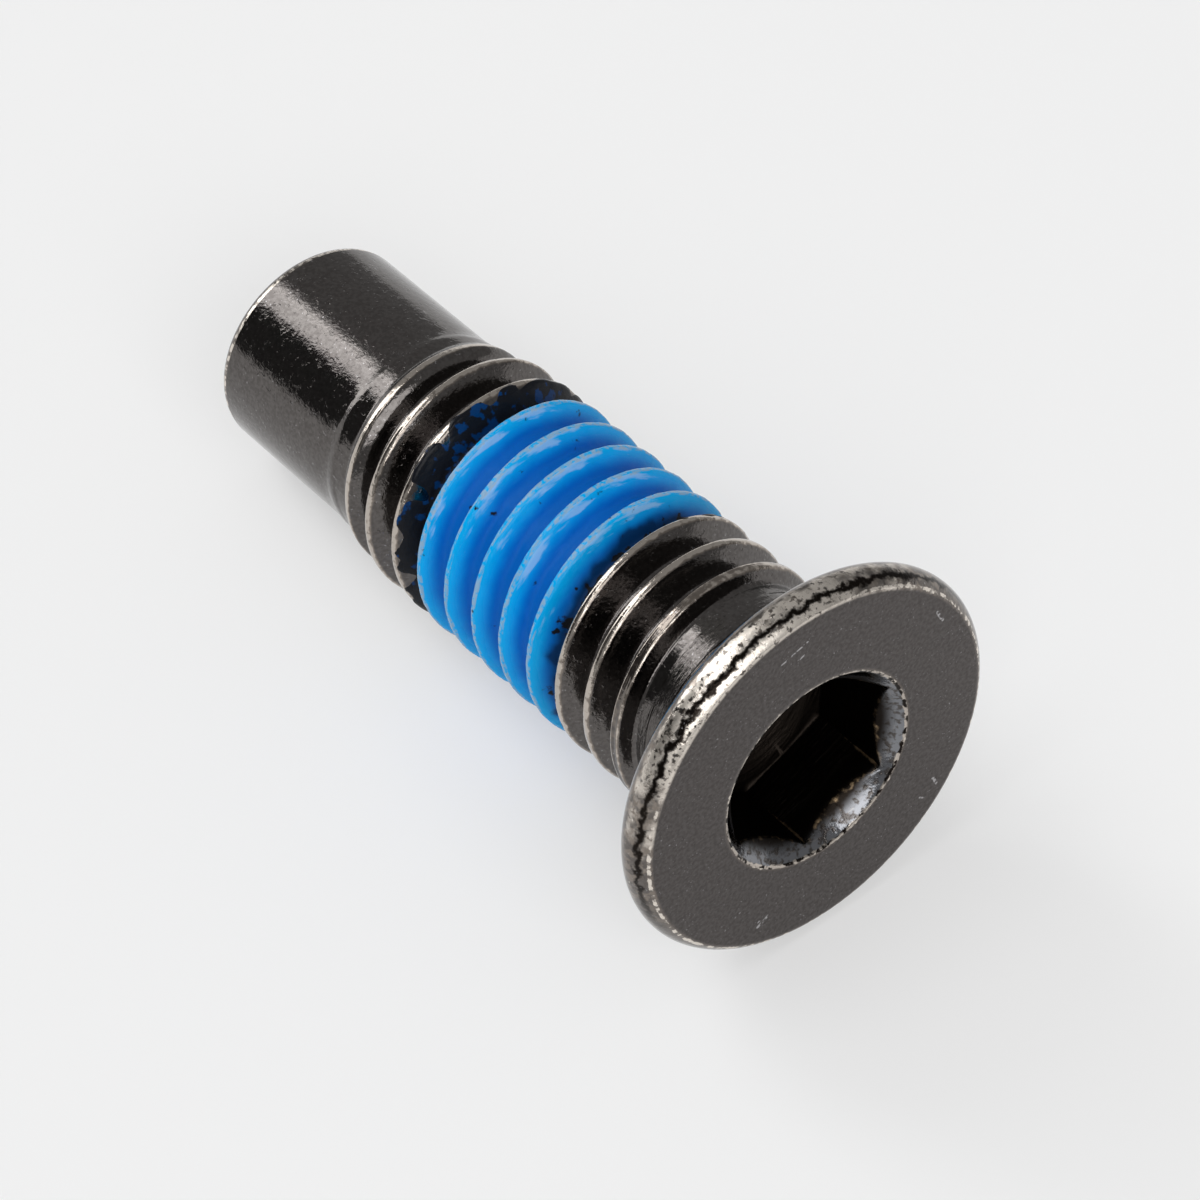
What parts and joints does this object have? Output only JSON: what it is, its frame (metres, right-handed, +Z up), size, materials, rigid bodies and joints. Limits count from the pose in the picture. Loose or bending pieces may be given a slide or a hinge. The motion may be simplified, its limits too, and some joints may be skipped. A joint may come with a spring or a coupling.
{
  "type": "stem bolt",
  "caption": "Low flat-head bolt with a rounded rim, hexagon socket, filleted neck, rolled right-hand thread with a blue threadlocking patch, and a plain dog point.",
  "frame": {"origin": "bottom centre of the bounding box of the bolt as it lies at rest, on the floor plane", "axes": "the bolt lies on the rim of its head and the edge of its dog point: the head faces -Y and a little up, the axis runs towards +Y and falls 7.1 degrees to the tip, +Z is up"},
  "size_m": [0.0098, 0.0194, 0.0096],
  "materials": {
    "black_nickel_steel": "black nickel plate over cold-formed and rolled steel, satin on the face, glossy on the round surfaces",
    "threadlocker": "dried blue threadlocking film, slightly glossy and unevenly spread"
  },
  "bodies": {
    "root": {"bolt": "black_nickel_steel", "thread_patch": "threadlocker"}
  },
  "joints": []
}
